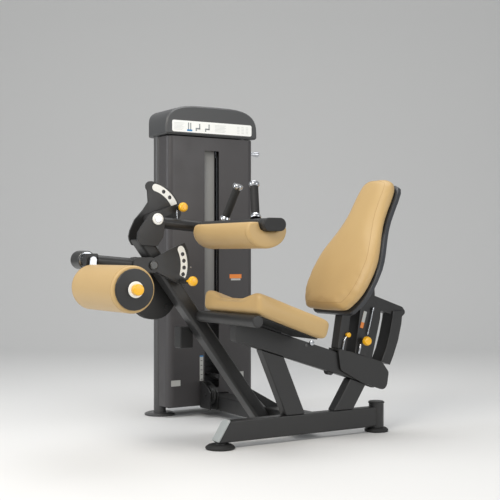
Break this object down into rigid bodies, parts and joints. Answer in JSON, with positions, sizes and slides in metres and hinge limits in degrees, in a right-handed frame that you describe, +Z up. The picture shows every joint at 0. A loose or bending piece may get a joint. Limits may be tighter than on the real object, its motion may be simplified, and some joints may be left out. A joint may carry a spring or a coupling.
{
  "type": "seated leg curl machine",
  "caption": "Seated leg curl with adjustable thigh pad, shin roller, cam, sliding back rest and a pin-selected weight tower beside the seat.",
  "frame": {"origin": "centre of the front foot's sole, on the floor, in the seat's centre plane", "axes": "+X towards the rear of the seat, so the user faces -X; +Y across to the weight tower; +Z up"},
  "size_m": [1.5008, 1.278, 1.497],
  "materials": {
    "frame_paint": "charcoal powder coat",
    "sheet_paint": "dark grey powder coat on sheet",
    "upholstery": "tan vinyl over foam",
    "rubber": "matt black",
    "black_plastic": "moulded black",
    "grey_plastic": "light grey moulded",
    "white_plastic": "white",
    "yellow_knob": "yellow",
    "chrome": "bright",
    "satin_steel": "dark satin",
    "plate_iron": "black painted"
  },
  "bodies": {
    "frame": {"base_rail": "frame_paint", "rail_end_cap": "grey_plastic", "front_foot": "rubber", "rear_foot": "rubber", "rear_post": "frame_paint", "cross_member": "frame_paint", "seat_beam": "frame_paint", "front_leg": "frame_paint", "rear_leg": "frame_paint", "grab_tube": "frame_paint", "strut": "frame_paint", "knee_housing": "frame_paint", "pivot_plate_near": "frame_paint", "pivot_plate_far": "frame_paint", "thigh_scale": "white_plastic", "thigh_shaft": "white_plastic", "seat_cushion": "upholstery", "seat_pan": "black_plastic", "tower_post_left": "frame_paint", "tower_post_right": "frame_paint", "tower_base_tube": "frame_paint", "front_shroud": "sheet_paint", "rear_shroud": "sheet_paint", "top_cap": "black_plastic", "accessory_peg": "chrome", "lower_plates": "plate_iron", "guide_rod_left": "chrome", "guide_rod_right": "chrome", "pulley_bracket": "frame_paint", "guide_housing": "black_plastic"},
    "thigh": {"thigh_arm": "frame_paint", "thigh_cross_tube": "frame_paint", "thigh_end_plug": "rubber", "thigh_pad": "upholstery", "grip_near": "rubber", "grip_far": "rubber"},
    "thigh_lock": {"thigh_pin": "yellow_knob"},
    "cam_group": {"knee_shaft": "chrome", "cam": "black_plastic", "start_quadrant": "frame_paint", "leg_scale": "white_plastic"},
    "leg": {"leg_arm": "frame_paint", "counterweight": "satin_steel"},
    "leg_lock": {"leg_pin": "yellow_knob"},
    "link": {"roller_link": "chrome", "roller_shaft": "yellow_knob"},
    "roller": {"roller_pad": "upholstery", "roller_disc": "black_plastic"},
    "carriage": {"carriage_saddle": "frame_paint", "carriage_loop": "frame_paint", "carriage_front_post": "frame_paint", "back_pad": "upholstery", "back_shell": "black_plastic"},
    "back_lock": {"back_pin": "yellow_knob"},
    "stack": {"lifted_plates": "plate_iron", "selector_stem": "chrome", "lift_cable": "rubber"},
    "stack_pin": {"selector_pin": "black_plastic"},
    "pulley": {"base_pulley": "black_plastic"}
  },
  "joints": [
    {"name": "leg_curl", "type": "hinge", "parent": "frame", "child": "cam_group", "pos_m": [-0.2, 0.29, 0.735], "axis": [0, -1, 0], "range_deg": [0, 70]},
    {"name": "start_position", "type": "hinge", "parent": "cam_group", "child": "leg", "pos_m": [-0.2, 0.226, 0.735], "axis": [0, -1, 0], "range_deg": [0, 30]},
    {"name": "leg_pin_pull", "type": "slide", "parent": "leg", "child": "leg_lock", "axis": [0, -1, 0], "range_m": [0, 0.012], "stiffness_N_per_m": 300},
    {"name": "shin_link_swing", "type": "hinge", "parent": "leg", "child": "link", "pos_m": [-0.4625, 0.22, 0.757], "axis": [0, -1, 0], "range_deg": [-20, 20]},
    {"name": "roller_spin", "type": "hinge", "parent": "link", "child": "roller", "pos_m": [-0.473, 0, 0.652], "axis": [0, 1, 0], "continuous": true},
    {"name": "thigh_adjust", "type": "hinge", "parent": "frame", "child": "thigh", "pos_m": [-0.16, 0.29, 0.925], "axis": [0, -1, 0], "range_deg": [0, 52]},
    {"name": "thigh_pin_pull", "type": "slide", "parent": "thigh", "child": "thigh_lock", "axis": [0, -1, 0], "range_m": [0, 0.013], "stiffness_N_per_m": 300},
    {"name": "back_slide", "type": "slide", "parent": "frame", "child": "carriage", "axis": [0.9524, 0, -0.3048], "range_m": [-0.12, 0]},
    {"name": "back_pin_pull", "type": "slide", "parent": "carriage", "child": "back_lock", "axis": [0, -1, 0], "range_m": [0, 0.012], "stiffness_N_per_m": 300},
    {"name": "stack_lift", "type": "slide", "parent": "frame", "child": "stack", "axis": [0, 0, 1], "range_m": [0, 0.14]},
    {"name": "selector_pin_pull", "type": "slide", "parent": "stack", "child": "stack_pin", "axis": [0, -1, 0], "range_m": [0, 0.08]},
    {"name": "base_pulley_spin", "type": "hinge", "parent": "frame", "child": "pulley", "pos_m": [0.374, 0.742, 0.106], "axis": [1, 0, 0], "range_deg": [-5, 190]}
  ],
  "couplings": [
    {"joint": "stack_lift", "follows": "leg_curl", "m_per_rad": 0.11},
    {"joint": "base_pulley_spin", "follows": "leg_curl", "ratio": 2.6}
  ]
}
